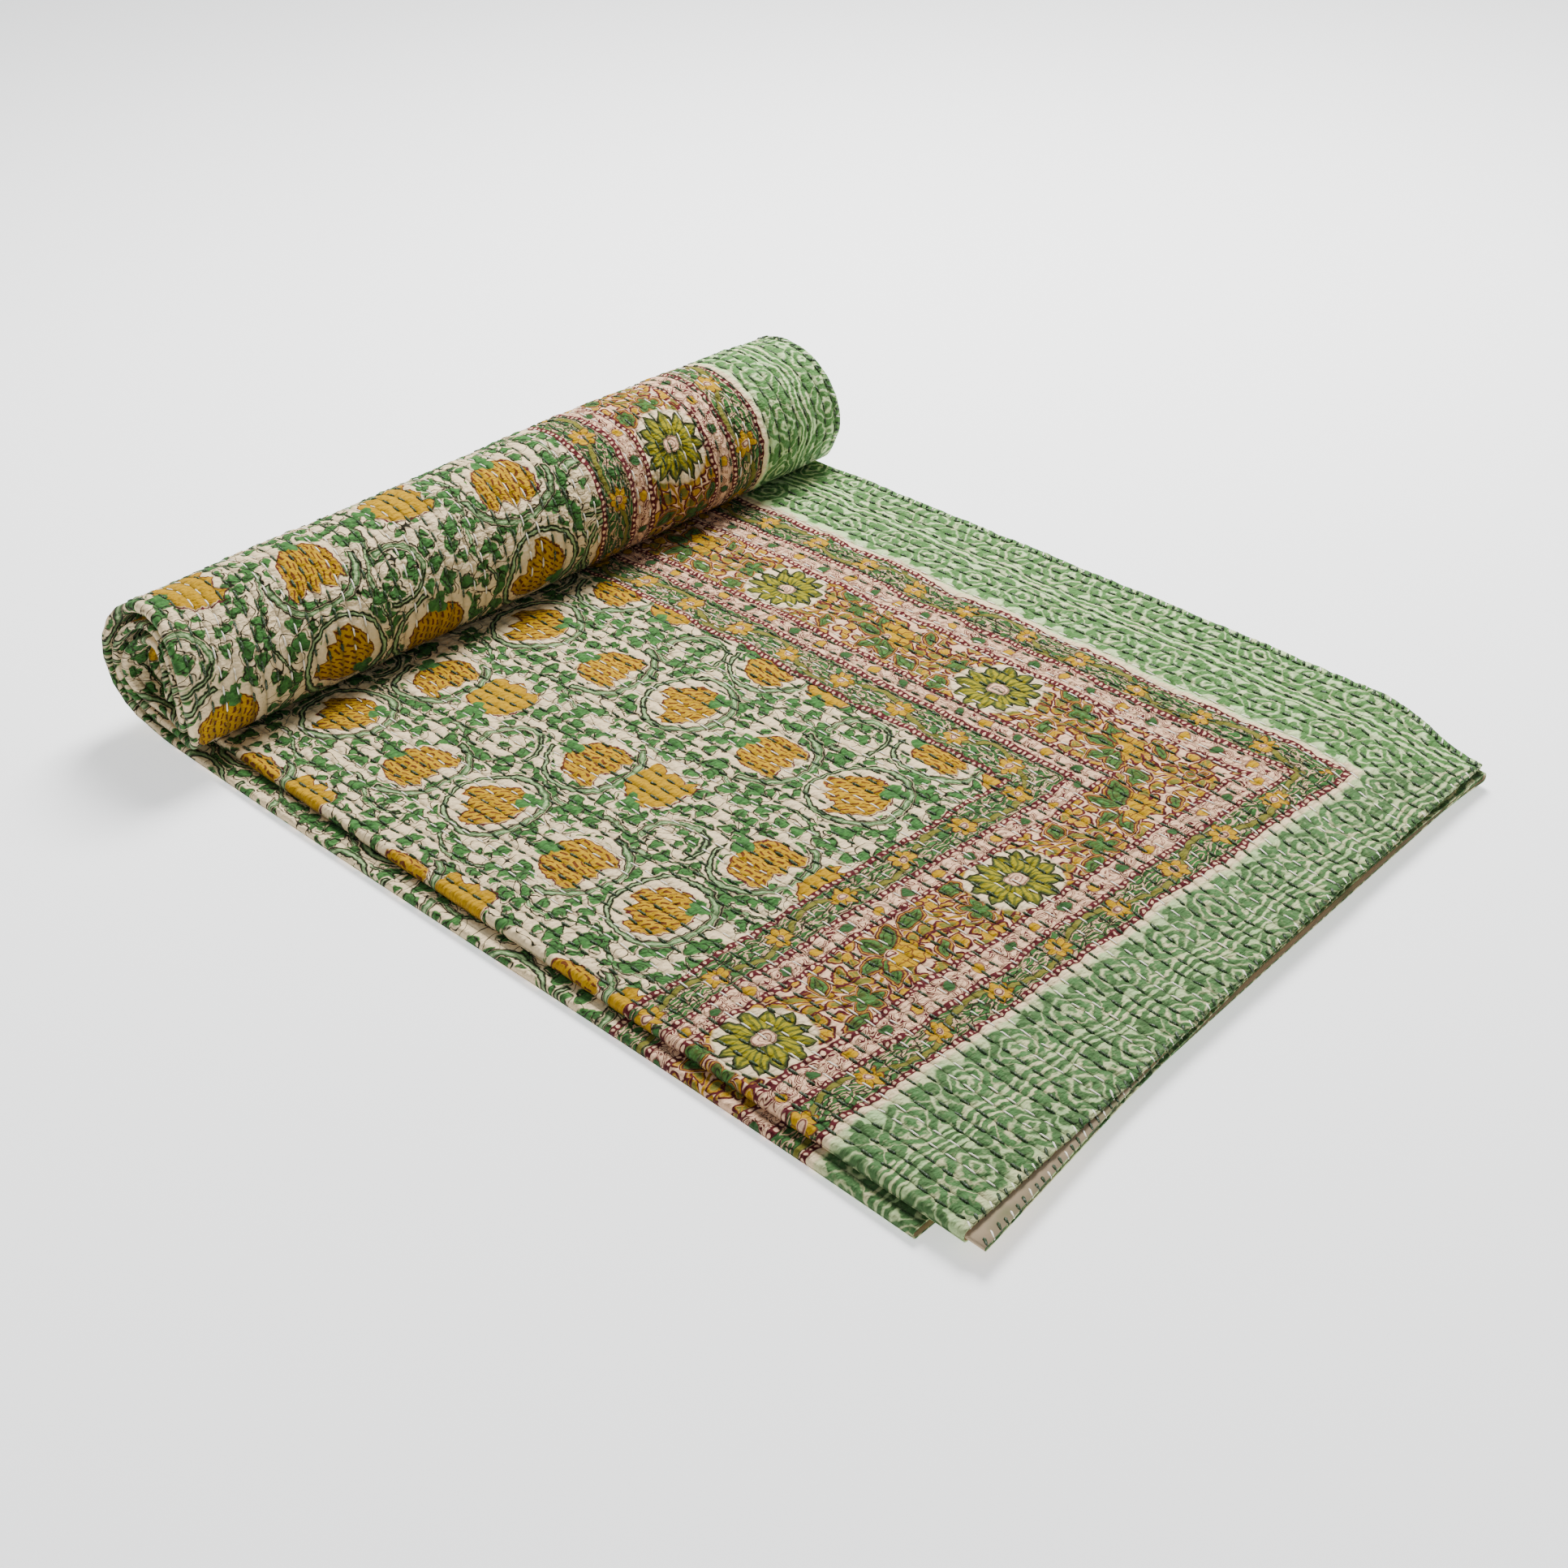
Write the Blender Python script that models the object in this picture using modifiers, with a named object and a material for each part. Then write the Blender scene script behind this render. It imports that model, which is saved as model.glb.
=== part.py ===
"""Kantha quilt, doubled along its length, folded in four across its width and half rolled up.

The quilt is modelled as it is handled: one flat grid of cloth is doubled at a crease, laid back
and forth in four panels, and wound up from the crease until only the front of it lies flat.
World axes: X along the folded strip, hems in front at +X; Y across it; Z up from the floor.
"""
import math

import bpy

# Driving dimensions, in metres
CLOTH_THICKNESS = 0.0012
WOUND_PITCH = 0.0015  # cloth and the air on it, where the quilt is wound up
HEM_PITCH = 0.0019  # the same, where the layers lie loose at the front hems
WOUND_TURNS = 2.75
ROLL_RADIUS = 0.0562
ROLL_AXIS_X = -0.3417
SETTLING = 0.008  # how softly a turn comes down onto the layers under it
SETTLED_HEIGHT = 0.025  # the windings keep their place below the pile's top, and ease in to here
HEM_HOLLOWS = (0.001, 0.006)  # how far the two doubled layers' front hems run in between two edges
FAR_BOW = 0.003  # how far the far edges bow out half way along
CORNER_LENGTH = 0.100  # stretch over which the far edges run in to the front corner
CORNER_PULL = 0.028
NEAR_LEAN = 0.010  # how far the windings stand out at the back and front of the roll's near end
FAR_LEAN = 0.006  # how far they stand out at the front of its far end

# Four panels lie between five edges: a hem, three folds and a hem.
# y at the front, y at the roll, x of the front hem of the upper and of the lower doubled layer
EDGES = (
    (0.3030, 0.2990, 0.3380, 0.3370),  # far hem of the top panel
    (-0.2750, -0.2790, 0.3860, 0.3990),  # upper near fold
    (0.3045, 0.3000, 0.3400, 0.3410),  # far fold
    (-0.2855, -0.2970, 0.3600, 0.3580),  # lower near fold
    (0.3000, 0.3000, 0.3370, 0.3350),  # far hem of the bottom panel
)
NEAR_EDGES = (1, 3)
PANELS = len(EDGES) - 1
LAYERS = 2 * PANELS
# Height of each panel in the pile, in layers from the floor, for the two halves of the doubled cloth
SLOTS = ((7.5, 4.5, 3.5, 0.5), (6.5, 5.5, 2.5, 1.5))

# Size of the roll along its axis: share of the way from its near to its far end, scale
ROLL_SHAPE = ((0.0, 0.970), (0.35, 0.990), (0.65, 1.020), (0.85, 1.000), (1.0, 0.955))

# Fineness of the grid
PANEL_STEPS = 3
FOLD_STEPS = 4
FLAT_STEPS = 8
TURN_STEPS = 16
CREASE_STEPS = 2

FULL_TURN = 2 * math.pi
LAST_QUARTER = 0.75 * FULL_TURN
ANGLE_SLACK = 0.001  # keeps the start of the last quarter out of it: its lying line is endless there
WOUND_PILE = LAYERS * WOUND_PITCH


def blend(a, b, t):
    """The value that lies the share t of the way from a to b."""
    return a + (b - a) * t


def smooth(t):
    """0 below 0, 1 above 1, and a soft rise between."""
    t = min(max(t, 0.0), 1.0)
    return t * t * (3.0 - 2.0 * t)


def soft_minimum(a, b, softness):
    """The lesser of a and b, rounded where they are about equal."""
    near = max(softness - abs(a - b), 0.0) / softness
    return min(a, b) - near * near * softness / 4.0


def lookup(table, t):
    """The value at t of a table of (t, value), soft between its rows."""
    for (t0, value0), (t1, value1) in zip(table, table[1:]):
        if t <= t1:
            return blend(value0, value1, smooth((t - t0) / (t1 - t0)))
    return table[-1][1]


def wrap_radius(angle):
    """Distance from the roll's axis to the outside of the winding, at an angle from its lowest point.

    Each turn is round but for its last quarter, where it comes down flat onto the layers under it.
    """
    turns = math.floor(angle / FULL_TURN)
    place = angle - FULL_TURN * turns
    radius = ROLL_RADIUS - turns * WOUND_PILE
    if place < LAST_QUARTER + ANGLE_SLACK:
        return radius
    lying = (radius - WOUND_PILE) / math.cos(place)
    return soft_minimum(radius, lying, SETTLING)


def columns():
    """Places across the cloth, from hem to hem: panel or fold, its number, and the share of the way."""
    places = []
    for panel in range(PANELS):
        for step in range(PANEL_STEPS + 1):
            places.append(("panel", panel, step / PANEL_STEPS))
        if panel < PANELS - 1:
            for step in range(1, FOLD_STEPS):
                places.append(("fold", panel, step / FOLD_STEPS))
    return places


def stations():
    """Places along the cloth, from hem to hem: half of the cloth, share of the flat, wound angle."""
    turn_step = FULL_TURN / TURN_STEPS
    wound_steps = round(WOUND_TURNS * TURN_STEPS)
    one_way = [(step / FLAT_STEPS, 0.0) for step in range(FLAT_STEPS + 1)]
    one_way += [(1.0, step * turn_step) for step in range(1, wound_steps + 1)]
    places = [(0.0, flat, angle) for flat, angle in one_way]
    places += [(step / CREASE_STEPS, 1.0, wound_steps * turn_step) for step in range(1, CREASE_STEPS)]
    places += [(1.0, flat, angle) for flat, angle in reversed(one_way)]
    return places


def edge_y(number, x, angle):
    """Where a hem or fold runs: beside the strip, and at the ends of the roll."""
    y_front, y_roll = EDGES[number][:2]
    share = (x - ROLL_AXIS_X) / (EDGES[0][2] - ROLL_AXIS_X)
    y = blend(y_roll, y_front, smooth(share))
    if number in NEAR_EDGES:
        return y - NEAR_LEAN * math.sin(angle) ** 2
    y += FAR_BOW * math.sin(math.pi * min(max(share, 0.0), 1.0))
    y -= CORNER_PULL * smooth((x - EDGES[0][2]) / CORNER_LENGTH + 1.0)
    return y + FAR_LEAN * max(-math.sin(angle), 0.0)


def fold_radius(fold, half):
    """Half the height of a fold, in layers."""
    heights = [blend(SLOTS[0][panel], SLOTS[1][panel], half) for panel in (fold, fold + 1)]
    return (heights[0] - heights[1]) / 2.0


def section(column, station, x, pitch):
    """The pile's cross-section: y, and the height in layers, of a place across the cloth."""
    kind, number, share = column
    half, _, angle = station
    lines = [edge_y(edge, x, angle) for edge in range(len(EDGES))]
    for fold in range(PANELS - 1):
        widest = max(fold_radius(fold, 0.0), fold_radius(fold, 1.0))
        outward = -1.0 if fold + 1 in NEAR_EDGES else 1.0
        lines[fold + 1] -= outward * (widest * pitch + CLOTH_THICKNESS / 2.0)
    slot = blend(SLOTS[0][number], SLOTS[1][number], half)
    if kind == "panel":
        return blend(lines[number], lines[number + 1], share), slot
    radius = fold_radius(number, half)
    outward = -1.0 if number + 1 in NEAR_EDGES else 1.0
    y = lines[number + 1] + outward * radius * pitch * math.sin(math.pi * share)
    return y, slot - radius * (1.0 - math.cos(math.pi * share))


def shaped(x, y, z):
    """The roll's unevenness: its windings above the pile are drawn in or let out along its axis."""
    near_y, far_y = EDGES[3][1], EDGES[0][1]
    scale = lookup(ROLL_SHAPE, (y - near_y) / (far_y - near_y))
    above = max(z - WOUND_PILE, 0.0)
    eased = blend(1.0, scale, smooth(above / SETTLED_HEIGHT))
    return ROLL_AXIS_X + (x - ROLL_AXIS_X) * eased, y, z - above + above * scale


def place(column, station):
    """World position of a point of the cloth's middle surface."""
    kind, number, share = column
    half, flat, angle = station
    fronts = [blend(edge[2], edge[3], half) for edge in EDGES]
    if kind == "panel":
        front = blend(fronts[number], fronts[number + 1], share)
        front -= blend(*HEM_HOLLOWS, half) * math.sin(math.pi * share)
    else:
        front = fronts[number + 1]
    x = blend(front, ROLL_AXIS_X, flat)
    if flat < 1.0:
        pitch = blend(HEM_PITCH, WOUND_PITCH, smooth(flat))
        y, slot = section(column, station, x, pitch)
        return x, y, CLOTH_THICKNESS / 2.0 + (slot - 0.5) * pitch
    outside = wrap_radius(angle)
    pitch = (outside - wrap_radius(angle + FULL_TURN)) / LAYERS
    y, slot = section(column, station, x, pitch)
    radius = outside - CLOTH_THICKNESS / 2.0 - (slot - 0.5) * pitch
    crease = math.sin(math.pi * half) * pitch / 2.0
    x -= radius * math.sin(angle + crease / radius)
    z = ROLL_RADIUS - radius * math.cos(angle + crease / radius)
    return shaped(x, y, z)


def cotton_material():
    """Block-printed cotton: pale ground under green, at the mean colour of the print."""
    material = bpy.data.materials.new("printed_cotton")
    material.use_nodes = True
    shader = material.node_tree.nodes["Principled BSDF"]
    shader.inputs["Base Color"].default_value = (0.36, 0.38, 0.18, 1.0)
    shader.inputs["Roughness"].default_value = 0.9
    shader.inputs["Metallic"].default_value = 0.0
    return material


def quilt():
    """The one piece of cloth: a flat grid, folded and wound by place(), and given its thickness."""
    across = columns()
    along = stations()
    bpy.ops.mesh.primitive_grid_add(
        x_subdivisions=len(across) - 1, y_subdivisions=len(along) - 1, size=1.0
    )
    cloth = bpy.context.object
    cloth.name = "quilt"
    cloth.data.name = "quilt"
    for vertex in cloth.data.vertices:
        column = round((vertex.co.x + 0.5) * (len(across) - 1))
        station = round((vertex.co.y + 0.5) * (len(along) - 1))
        vertex.co = place(across[column], along[station])
    cloth.data.shade_smooth()
    cloth.data.materials.append(cotton_material())
    wall = cloth.modifiers.new("thickness", "SOLIDIFY")
    wall.thickness = CLOTH_THICKNESS
    wall.offset = 0.0
    return cloth


def main():
    """Clear the scene and build the quilt in a collection of its own."""
    for found in list(bpy.data.objects):
        bpy.data.objects.remove(found, do_unlink=True)
    collection = bpy.data.collections.new("kantha_quilt")
    bpy.context.scene.collection.children.link(collection)
    cloth = quilt()
    for holder in list(cloth.users_collection):
        holder.objects.unlink(cloth)
    collection.objects.link(cloth)


main()
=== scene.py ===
"""Kantha quilt: the cloth as it shows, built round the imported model, which stays as it is.

The cloth is doubled along its length, folded in four across its width and half rolled up. It is
made here as in the part's source, from the same named sizes, but with a finer grid, the puckers
of its quilting, its block print, and its stitches.
World axes: X along the folded strip, hems in front at +X; Y across it; Z up from the floor.
"""

import math

import bpy
from mathutils import Matrix, Vector, noise


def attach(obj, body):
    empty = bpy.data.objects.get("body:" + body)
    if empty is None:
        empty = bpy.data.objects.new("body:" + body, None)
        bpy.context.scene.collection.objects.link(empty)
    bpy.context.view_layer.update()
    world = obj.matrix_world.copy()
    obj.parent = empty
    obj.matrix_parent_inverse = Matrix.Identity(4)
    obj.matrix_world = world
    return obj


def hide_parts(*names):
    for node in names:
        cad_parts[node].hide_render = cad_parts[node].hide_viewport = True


bl_info = {
    "name": "Kantha Quilt",
    "version": (1, 0, 0),
    "blender": (4, 5, 0),
    "location": "3D View > Sidebar > Quilt",
    "description": "Builds a folded and rolled kantha quilt with its block print and stitching",
    "category": "Add Mesh",
}

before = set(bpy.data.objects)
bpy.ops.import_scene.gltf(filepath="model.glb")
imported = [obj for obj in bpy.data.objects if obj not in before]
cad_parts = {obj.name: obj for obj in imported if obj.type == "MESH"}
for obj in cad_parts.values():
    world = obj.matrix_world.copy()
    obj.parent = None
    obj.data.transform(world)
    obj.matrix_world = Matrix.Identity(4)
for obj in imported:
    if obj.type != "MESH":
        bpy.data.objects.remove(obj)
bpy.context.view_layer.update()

# The folded form, in metres: the sizes of the part's source, but for a deeper second hem hollow
WOUND_PITCH = 0.0015  # cloth and the air on it, where the quilt is wound up
HEM_PITCH = 0.0019  # the same, where the layers lie loose at the front hems
WOUND_TURNS = 2.75
ROLL_RADIUS = 0.0562
ROLL_AXIS_X = -0.3417
SETTLING = 0.008  # how softly a turn comes down onto the layers under it
SETTLED_HEIGHT = 0.025  # the windings keep their place below the pile's top, and ease in to here
HEM_HOLLOWS = (0.001, 0.011)  # how far the two doubled layers' front hems run in between two edges
FAR_BOW = 0.003  # how far the far edges bow out half way along
CORNER_LENGTH = 0.100  # stretch over which the far edges run in to the front corner
CORNER_PULL = 0.028
NEAR_LEAN = 0.010  # how far the windings stand out at the back and front of the roll's near end
FAR_LEAN = 0.006  # how far they stand out at the front of its far end

# Four panels lie between five edges: a hem, three folds and a hem.
# y at the front, y at the roll, x of the front hem of the upper and of the lower doubled layer
EDGES = (
    (0.3030, 0.2990, 0.3380, 0.3370),  # far hem of the top panel
    (-0.2750, -0.2790, 0.3860, 0.3990),  # upper near fold
    (0.3045, 0.3000, 0.3400, 0.3410),  # far fold
    (-0.2855, -0.2970, 0.3600, 0.3580),  # lower near fold
    (0.3000, 0.3000, 0.3370, 0.3350),  # far hem of the bottom panel
)
NEAR_EDGES = (1, 3)
PANELS = len(EDGES) - 1
TOP_PANEL, BOTTOM_PANEL = 0, PANELS - 1
LAYERS = 2 * PANELS
# Height of each panel in the pile, in layers from the floor, for the two halves of the doubled cloth
SLOTS = ((7.5, 4.5, 3.5, 0.5), (6.5, 5.5, 2.5, 1.5))

# Size of the roll along its axis: share of the way from its near to its far end, scale
ROLL_SHAPE = ((0.0, 0.970), (0.35, 0.990), (0.65, 1.020), (0.85, 1.000), (1.0, 0.955))

# Fineness of the grid: the top panel and the roll's outside show, and the rest is coarse
FINE_STEPS = 116
COARSE_STEPS = 4
FOLD_STEPS = 8
FLAT_STEPS = 176
OUTER_STEPS = 84  # to a turn
INNER_STEPS = 24  # to a turn
CREASE_STEPS = 4
INNER_FLAT_STEPS = 28
SHOWN_ANGLE = math.radians(300)  # the outer turn shows up to here, where it meets the flat strip

FULL_TURN = 2 * math.pi
LAST_QUARTER = 0.75 * FULL_TURN
ANGLE_SLACK = 0.001  # keeps the start of the last quarter out of it: its lying line is endless there
WOUND_PILE = LAYERS * WOUND_PITCH
PANEL_SPAN = FINE_STEPS + FOLD_STEPS  # columns of the grid from one panel to the next
COARSE_SPAN = FINE_STEPS // COARSE_STEPS

# The quilting's relief, in metres: height of the ridges between its rows, of the gathers along
# them and of the swells
RIDGE = 0.0012
GATHER = 0.0010
SWELL = 0.0012
STRIP_END_X = -0.292  # the strip's relief shows up to here, where the roll covers it
ROLL_START_ANGLE = 0.3  # the roll's stitches show from here

# The stitching, in metres
SEWN_HEIGHT = 0.0004  # of a running stitch over the cloth, and how deep its ends go in
STRAY = 0.0009  # how far the ends of a running stitch lie off its row
WHIP_HEIGHT = 0.0003
WHIP_PITCH = 0.0065
WHIP_REACH = 0.0050  # from the hem inward
WHIP_OVERHANG = 0.0007  # from the hem outward
WHIP_SLANT = 0.0018
DARK_COLUMNS = 16  # of the fine grid: so far from the far hem all rows are sewn in dark thread
DARK_COARSER = 1.5  # the dark thread is this much coarser than the white

# The cut cloth, and the print's outer line: where it runs on the top panel
LINE_X = 0.2804
LINE_Y = 0.2114
PRINT_REPEAT = 0.2125  # from one lotus of the border to the next
OUTER_BORDER = 0.089  # from the print's outer line to the far hem
BREADTH = 2.263  # of the cloth, from the outer line along one long side to the far hem

# The print, in repeats. Its bands and chains of dots, by their distance from the outer line
LINES = (0.004, 0.130, 0.232, 0.519, 0.606, 0.744)
NARROW_BANDS, NARROW_BREADTH = (0.070, 0.677), 0.120
PINK_BANDS, PINK_BREADTH = (0.182, 0.560), 0.092
INNER_BANDS = 0.35  # past here lie the second narrow band and the second pink one
WIDE_BAND, WIDE_BREADTH = 0.375, 0.280
FIELD_EDGE = 0.747
FIELD_START = (0.236, 0.323)  # first tulip of the field, in repeats from the outer lines
FIELD_REPEAT = (0.783, 0.800)
# The far half is printed with the blocks turned half round, and meets the near one out of step
SECOND_BORDER_SHIFT = 0.032
SECOND_FIELD_SHIFT = (-0.039, 0.098)
# The four tulips of the field's repeat: place, way that the tips point, radius of the vine loop and
# of the bare cloth in it, and the side on which the loop is drawn (all of it, part, or none)
TULIPS = (
    {"s": 0.0, "t": 0.0, "tip_s": 0.71, "tip_t": 0.71, "ring": 0.155, "bare": 0.142,
     "open_s": 0.0, "open_t": 0.0, "open": 1.0},
    {"s": 0.367, "t": 0.030, "tip_s": -1.0, "tip_t": 0.0, "ring": 0.165, "bare": 0.126,
     "open_s": -1.0, "open_t": 0.0, "open": -0.02},
    {"s": -0.039, "t": 0.439, "tip_s": -1.0, "tip_t": 0.08, "ring": 0.160, "bare": 0.130,
     "open_s": -0.6, "open_t": 0.8, "open": 0.06},
    {"s": 0.489, "t": 0.400, "tip_s": 0.0, "tip_t": -1.0, "ring": 0.125, "bare": 0.112,
     "open_s": 0.0, "open_t": 0.0, "open": -1.0},
)
# Leaves of the wide band, about its rosette: base, tip and half breadth, in repeats; x is outward
WIDE_BAND_LEAVES = (
    ((-0.01, -0.01), (-0.125, -0.085), 0.030),
    ((-0.01, 0.00), (-0.120, 0.025), 0.026),
    ((0.01, 0.015), (0.100, 0.100), 0.026),
    ((-0.005, 0.02), (0.000, 0.125), 0.026),
    ((-0.070, -0.10), (-0.105, -0.215), 0.030),
    ((0.110, -0.09), (0.050, -0.150), 0.018),
    ((-0.035, 0.26), (-0.115, 0.215), 0.026),
    ((0.110, 0.24), (0.125, 0.330), 0.024),
)
# Its small flowers: centre, petals, radius at their notches and at their tips
WIDE_BAND_FLOWERS = (
    ((0.070, 0.197), 5, 0.022, 0.056),
    ((-0.100, -0.335), 8, 0.032, 0.038),
    ((0.020, -0.315), 5, 0.022, 0.050),
)
# Leaves of the field, of two sizes, one to 15 mm and one to 20 mm: cells to a repeat, shift of the
# cells, least radius, and how much more it may be
FIELD_LEAVES = ((14.5, 3.7, 0.015, 0.016), (10.5, 0.0, 0.025, 0.014))
FILLER_CELLS = 21.0  # small leaves of the bands, one to 10 mm
PETAL_LINES = 0.019  # from one line on a tulip's petals to the next, 4 mm

# The print's unevenness, in bumps to a repeat of 212.5 mm
BLOCK_BUMPS, BLOCK_WANDER = 4.0, 0.050  # the blocks' places wander by 5 mm, over 53 mm
JOG_BUMPS, JOG_SIZE = 26.0, 0.016  # the puckers jog the lines by 2 mm, over 8 mm
RAGGED_BUMPS = 60.0  # ragged edges and thin places of the ink, 3.5 mm
PATCH_BUMPS = 9.0  # patches where the dye has run, 24 mm
CURL_BUMPS = 14.0  # tendrils, 15 mm
MAZE_BUMPS = 30.0  # scribbles of the pink bands, 7 mm
STROKE_BUMPS = (22.0, 62.0)  # strokes of the narrow and pink bands, 10 mm long and 3.4 mm broad

# The cloth's own unevenness, in bumps to a metre along the stitch rows and to a row (10 mm) across.
# The weave, of 0.3 mm, is too fine to show, so the slubs of its yarn are drawn as coarse as they
# need to, and so are the painted highlights along the thread's twist.
CRINKLES = (260.0, 1.6)  # 4 mm long, 6 mm across
CRINKLE_DEPTH = 0.0026
SLUBS = (120.0, 13.0)  # 8 mm long, 0.8 mm across
CLOUDS = 45.0  # to a metre, of 22 mm
# painted highlights along the thread's twist
TWIST_HIGHLIGHT_BUMPS = 900.0  # to a metre, of 1.1 mm

# Inks as they dry on cream cotton; the studio's light and film pale them to what the eye sees
INKS = {
    "ground": "#EDD4A8",
    "ground_pink": "#F0C29C",
    # the back's own faded tone, darkened further with painted shade
    "faded_back_and_painted_shade": "#C4AC8C",
    "leaf": "#49803C",
    "leaf_dark": "#33562B",
    "vine": "#3F6036",
    "line": "#1F1E0E",
    "tulip": "#B98D00",
    "tulip_line": "#64340E",
    "red_line": "#52141C",
    "orange": "#AA7C04",
    "olive": "#74702A",
    "olive_dark": "#455020",
    "lotus": "#958A14",
    "mint": "#336B36",
    "mint_pale": "#527D42",
    "mint_wash": "#C6E0A0",
}
WHITE = (1.0, 1.0, 1.0, 1.0)


def srgb(code):
    """The linear colour of an sRGB hex code."""
    channels = [int(code[start : start + 2], 16) / 255 for start in (1, 3, 5)]
    return tuple(c / 12.92 if c <= 0.04045 else ((c + 0.055) / 1.055) ** 2.4 for c in channels)


# ---------------------------------------------------------------- the folded form


def blend(a, b, t):
    """The value that lies the share t of the way from a to b."""
    return a + (b - a) * t


def smooth(t):
    """0 below 0, 1 above 1, and a soft rise between."""
    t = min(max(t, 0.0), 1.0)
    return t * t * (3.0 - 2.0 * t)


def soft_minimum(a, b, softness):
    """The lesser of a and b, rounded where they are about equal."""
    near = max(softness - abs(a - b), 0.0) / softness
    return min(a, b) - near * near * softness / 4.0


def lookup(table, t):
    """The value at t of a table of (t, value), soft between its rows."""
    for (t0, value0), (t1, value1) in zip(table, table[1:]):
        if t <= t1:
            return blend(value0, value1, smooth((t - t0) / (t1 - t0)))
    return table[-1][1]


def wrap_radius(angle):
    """Distance from the roll's axis to the outside of the winding, at an angle from its lowest point.

    Each turn is round but for its last quarter, where it comes down flat onto the layers under it.
    """
    turns = math.floor(angle / FULL_TURN)
    around = angle - FULL_TURN * turns
    radius = ROLL_RADIUS - turns * WOUND_PILE
    if around < LAST_QUARTER + ANGLE_SLACK:
        return radius
    lying = (radius - WOUND_PILE) / math.cos(around)
    return soft_minimum(radius, lying, SETTLING)


def edge_y(number, x, angle):
    """Where a hem or fold runs: beside the strip, and at the ends of the roll."""
    y_front, y_roll = EDGES[number][:2]
    share = (x - ROLL_AXIS_X) / (EDGES[0][2] - ROLL_AXIS_X)
    y = blend(y_roll, y_front, smooth(share))
    if number in NEAR_EDGES:
        return y - NEAR_LEAN * math.sin(angle) ** 2
    y += FAR_BOW * math.sin(math.pi * min(max(share, 0.0), 1.0))
    y -= CORNER_PULL * smooth((x - EDGES[0][2]) / CORNER_LENGTH + 1.0)
    return y + FAR_LEAN * max(-math.sin(angle), 0.0)


def fold_radius(fold, half):
    """Half the height of a fold, in layers."""
    heights = [blend(SLOTS[0][panel], SLOTS[1][panel], half) for panel in (fold, fold + 1)]
    return (heights[0] - heights[1]) / 2.0


def section(column, half, angle, x, pitch, thickness):
    """The pile's cross-section: y, and the height in layers, of a place across the cloth."""
    kind, number, share, _ = column
    lines = []
    for edge in range(number, number + 2):
        line = edge_y(edge, x, angle)
        if 0 < edge < PANELS:
            widest = max(fold_radius(edge - 1, 0.0), fold_radius(edge - 1, 1.0))
            outward = -1.0 if edge in NEAR_EDGES else 1.0
            line -= outward * (widest * pitch + thickness / 2.0)
        lines.append(line)
    slot = blend(SLOTS[0][number], SLOTS[1][number], half)
    if kind == "panel":
        return blend(lines[0], lines[1], share), slot
    radius = fold_radius(number, half)
    outward = -1.0 if number + 1 in NEAR_EDGES else 1.0
    y = lines[1] + outward * radius * pitch * math.sin(math.pi * share)
    return y, slot - radius * (1.0 - math.cos(math.pi * share))


def shaped(x, y, z):
    """The roll's unevenness: its windings above the pile are drawn in or let out along its axis."""
    near_y, far_y = EDGES[3][1], EDGES[0][1]
    scale = lookup(ROLL_SHAPE, (y - near_y) / (far_y - near_y))
    above = max(z - WOUND_PILE, 0.0)
    eased = blend(1.0, scale, smooth(above / SETTLED_HEIGHT))
    return Vector((ROLL_AXIS_X + (x - ROLL_AXIS_X) * eased, y, z - above + above * scale))


def place(column, station, thickness):
    """World position of a point of the cloth's middle surface."""
    kind, number, share, _ = column
    half, flat, angle, _ = station
    fronts = [blend(edge[2], edge[3], half) for edge in EDGES[number : number + 2]]
    if kind == "panel":
        front = blend(fronts[0], fronts[1], share)
        front -= blend(*HEM_HOLLOWS, half) * math.sin(math.pi * share)
    else:
        front = fronts[1]
    x = blend(front, ROLL_AXIS_X, flat)
    if flat < 1.0:
        pitch = blend(HEM_PITCH, WOUND_PITCH, smooth(flat))
        y, slot = section(column, half, angle, x, pitch, thickness)
        return Vector((x, y, thickness / 2.0 + (slot - 0.5) * pitch))
    outside = wrap_radius(angle)
    pitch = (outside - wrap_radius(angle + FULL_TURN)) / LAYERS
    y, slot = section(column, half, angle, x, pitch, thickness)
    radius = outside - thickness / 2.0 - (slot - 0.5) * pitch
    crease = math.sin(math.pi * half) * pitch / 2.0
    x -= radius * math.sin(angle + crease / radius)
    z = ROLL_RADIUS - radius * math.cos(angle + crease / radius)
    return shaped(x, y, z)


# ---------------------------------------------------------------- the grid of the cloth


def columns():
    """Places across the cloth: panel or fold, its number, share of the way, and stitch row there.

    The rows of running stitch are the whole numbers, and lie on every second fine column.
    """
    rows_in_panel = FINE_STEPS / 2 + 1
    places = []
    for panel in range(PANELS):
        for step in range(FINE_STEPS + 1):
            row = rows_in_panel * panel + (step - 1) / 2
            places.append(("panel", panel, step / FINE_STEPS, row))
        if panel < PANELS - 1:
            for step in range(1, FOLD_STEPS):
                row = rows_in_panel * (panel + 1) - 1.5 + step / FOLD_STEPS
                places.append(("fold", panel, step / FOLD_STEPS, row))
    return places


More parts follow.
